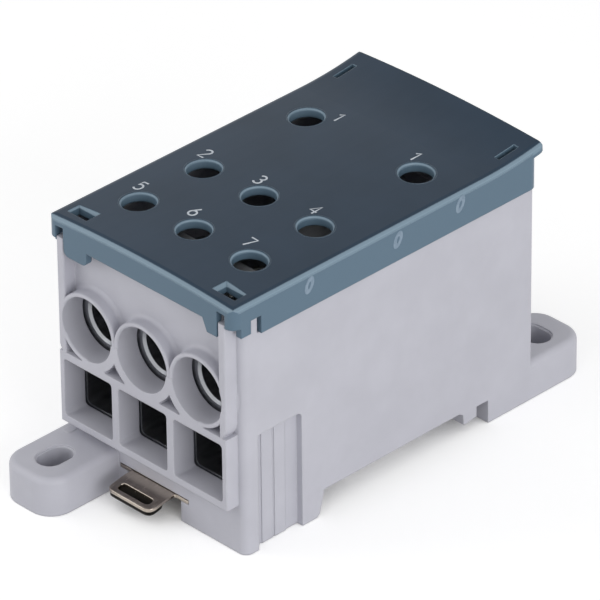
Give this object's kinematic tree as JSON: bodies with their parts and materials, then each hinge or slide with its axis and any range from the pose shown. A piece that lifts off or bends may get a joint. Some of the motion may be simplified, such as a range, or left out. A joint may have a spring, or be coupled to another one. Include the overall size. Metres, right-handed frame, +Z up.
{
  "type": "power distribution block",
  "caption": "Stepped metal terminal block in a moulded housing with round and square wire sockets, clamp screws, a lift-off lid with key holes, screw ears and a sprung rail latch.",
  "frame": {"origin": "centre of the footprint, ears included, at the level of the undersides of the feet", "axes": "+X to the right seen from the outlet side, +Y from the outlet sockets to the inlets, +Z up to the lid"},
  "size_m": [0.0494, 0.109, 0.0572],
  "materials": {
    "housing_polyamide": "light grey moulded polyamide, fine matt",
    "lid_polyamide": "blue-grey moulded polyamide, satin",
    "plated_block": "machined and tin-plated",
    "screw_steel": "turned steel, zinc-plated",
    "nickel_steel": "pressed sheet, nickel-plated",
    "spring_wire": "drawn spring wire"
  },
  "bodies": {
    "base": {"housing": "housing_polyamide", "terminal_block": "plated_block", "latch_spring": "spring_wire"},
    "lid": {"lid": "lid_polyamide"},
    "latch": {"rail_latch": "nickel_steel"},
    "screw_2": {"outlet_screw_2": "screw_steel"},
    "screw_3": {"outlet_screw_3": "screw_steel"},
    "screw_4": {"outlet_screw_4": "screw_steel"},
    "screw_5": {"outlet_screw_5": "screw_steel"},
    "screw_6": {"outlet_screw_6": "screw_steel"},
    "screw_7": {"outlet_screw_7": "screw_steel"},
    "screw_inlet_left": {"inlet_screw_left": "screw_steel"},
    "screw_inlet_right": {"inlet_screw_right": "screw_steel"}
  },
  "joints": [
    {"name": "lid_lift", "type": "slide", "parent": "base", "child": "lid", "axis": [0, 0, 1], "range_m": [0, 0.03]},
    {"name": "latch_pull", "type": "slide", "parent": "base", "child": "latch", "axis": [0, -1, 0], "range_m": [0, 0.004], "stiffness_N_per_m": 800, "springref_m": -0.003, "deforming": ["latch_spring"]},
    {"name": "turn_in_2", "type": "slide", "parent": "base", "child": "screw_2", "axis": [0, 0, -1], "range_m": [0, 0.01]},
    {"name": "turn_in_3", "type": "slide", "parent": "base", "child": "screw_3", "axis": [0, 0, -1], "range_m": [0, 0.01]},
    {"name": "turn_in_4", "type": "slide", "parent": "base", "child": "screw_4", "axis": [0, 0, -1], "range_m": [0, 0.01]},
    {"name": "turn_in_5", "type": "slide", "parent": "base", "child": "screw_5", "axis": [0, 0, -1], "range_m": [0, 0.008]},
    {"name": "turn_in_6", "type": "slide", "parent": "base", "child": "screw_6", "axis": [0, 0, -1], "range_m": [0, 0.008]},
    {"name": "turn_in_7", "type": "slide", "parent": "base", "child": "screw_7", "axis": [0, 0, -1], "range_m": [0, 0.008]},
    {"name": "turn_in_inlet_left", "type": "slide", "parent": "base", "child": "screw_inlet_left", "axis": [0, 0, -1], "range_m": [0, 0.01]},
    {"name": "turn_in_inlet_right", "type": "slide", "parent": "base", "child": "screw_inlet_right", "axis": [0, 0, -1], "range_m": [0, 0.01]}
  ]
}
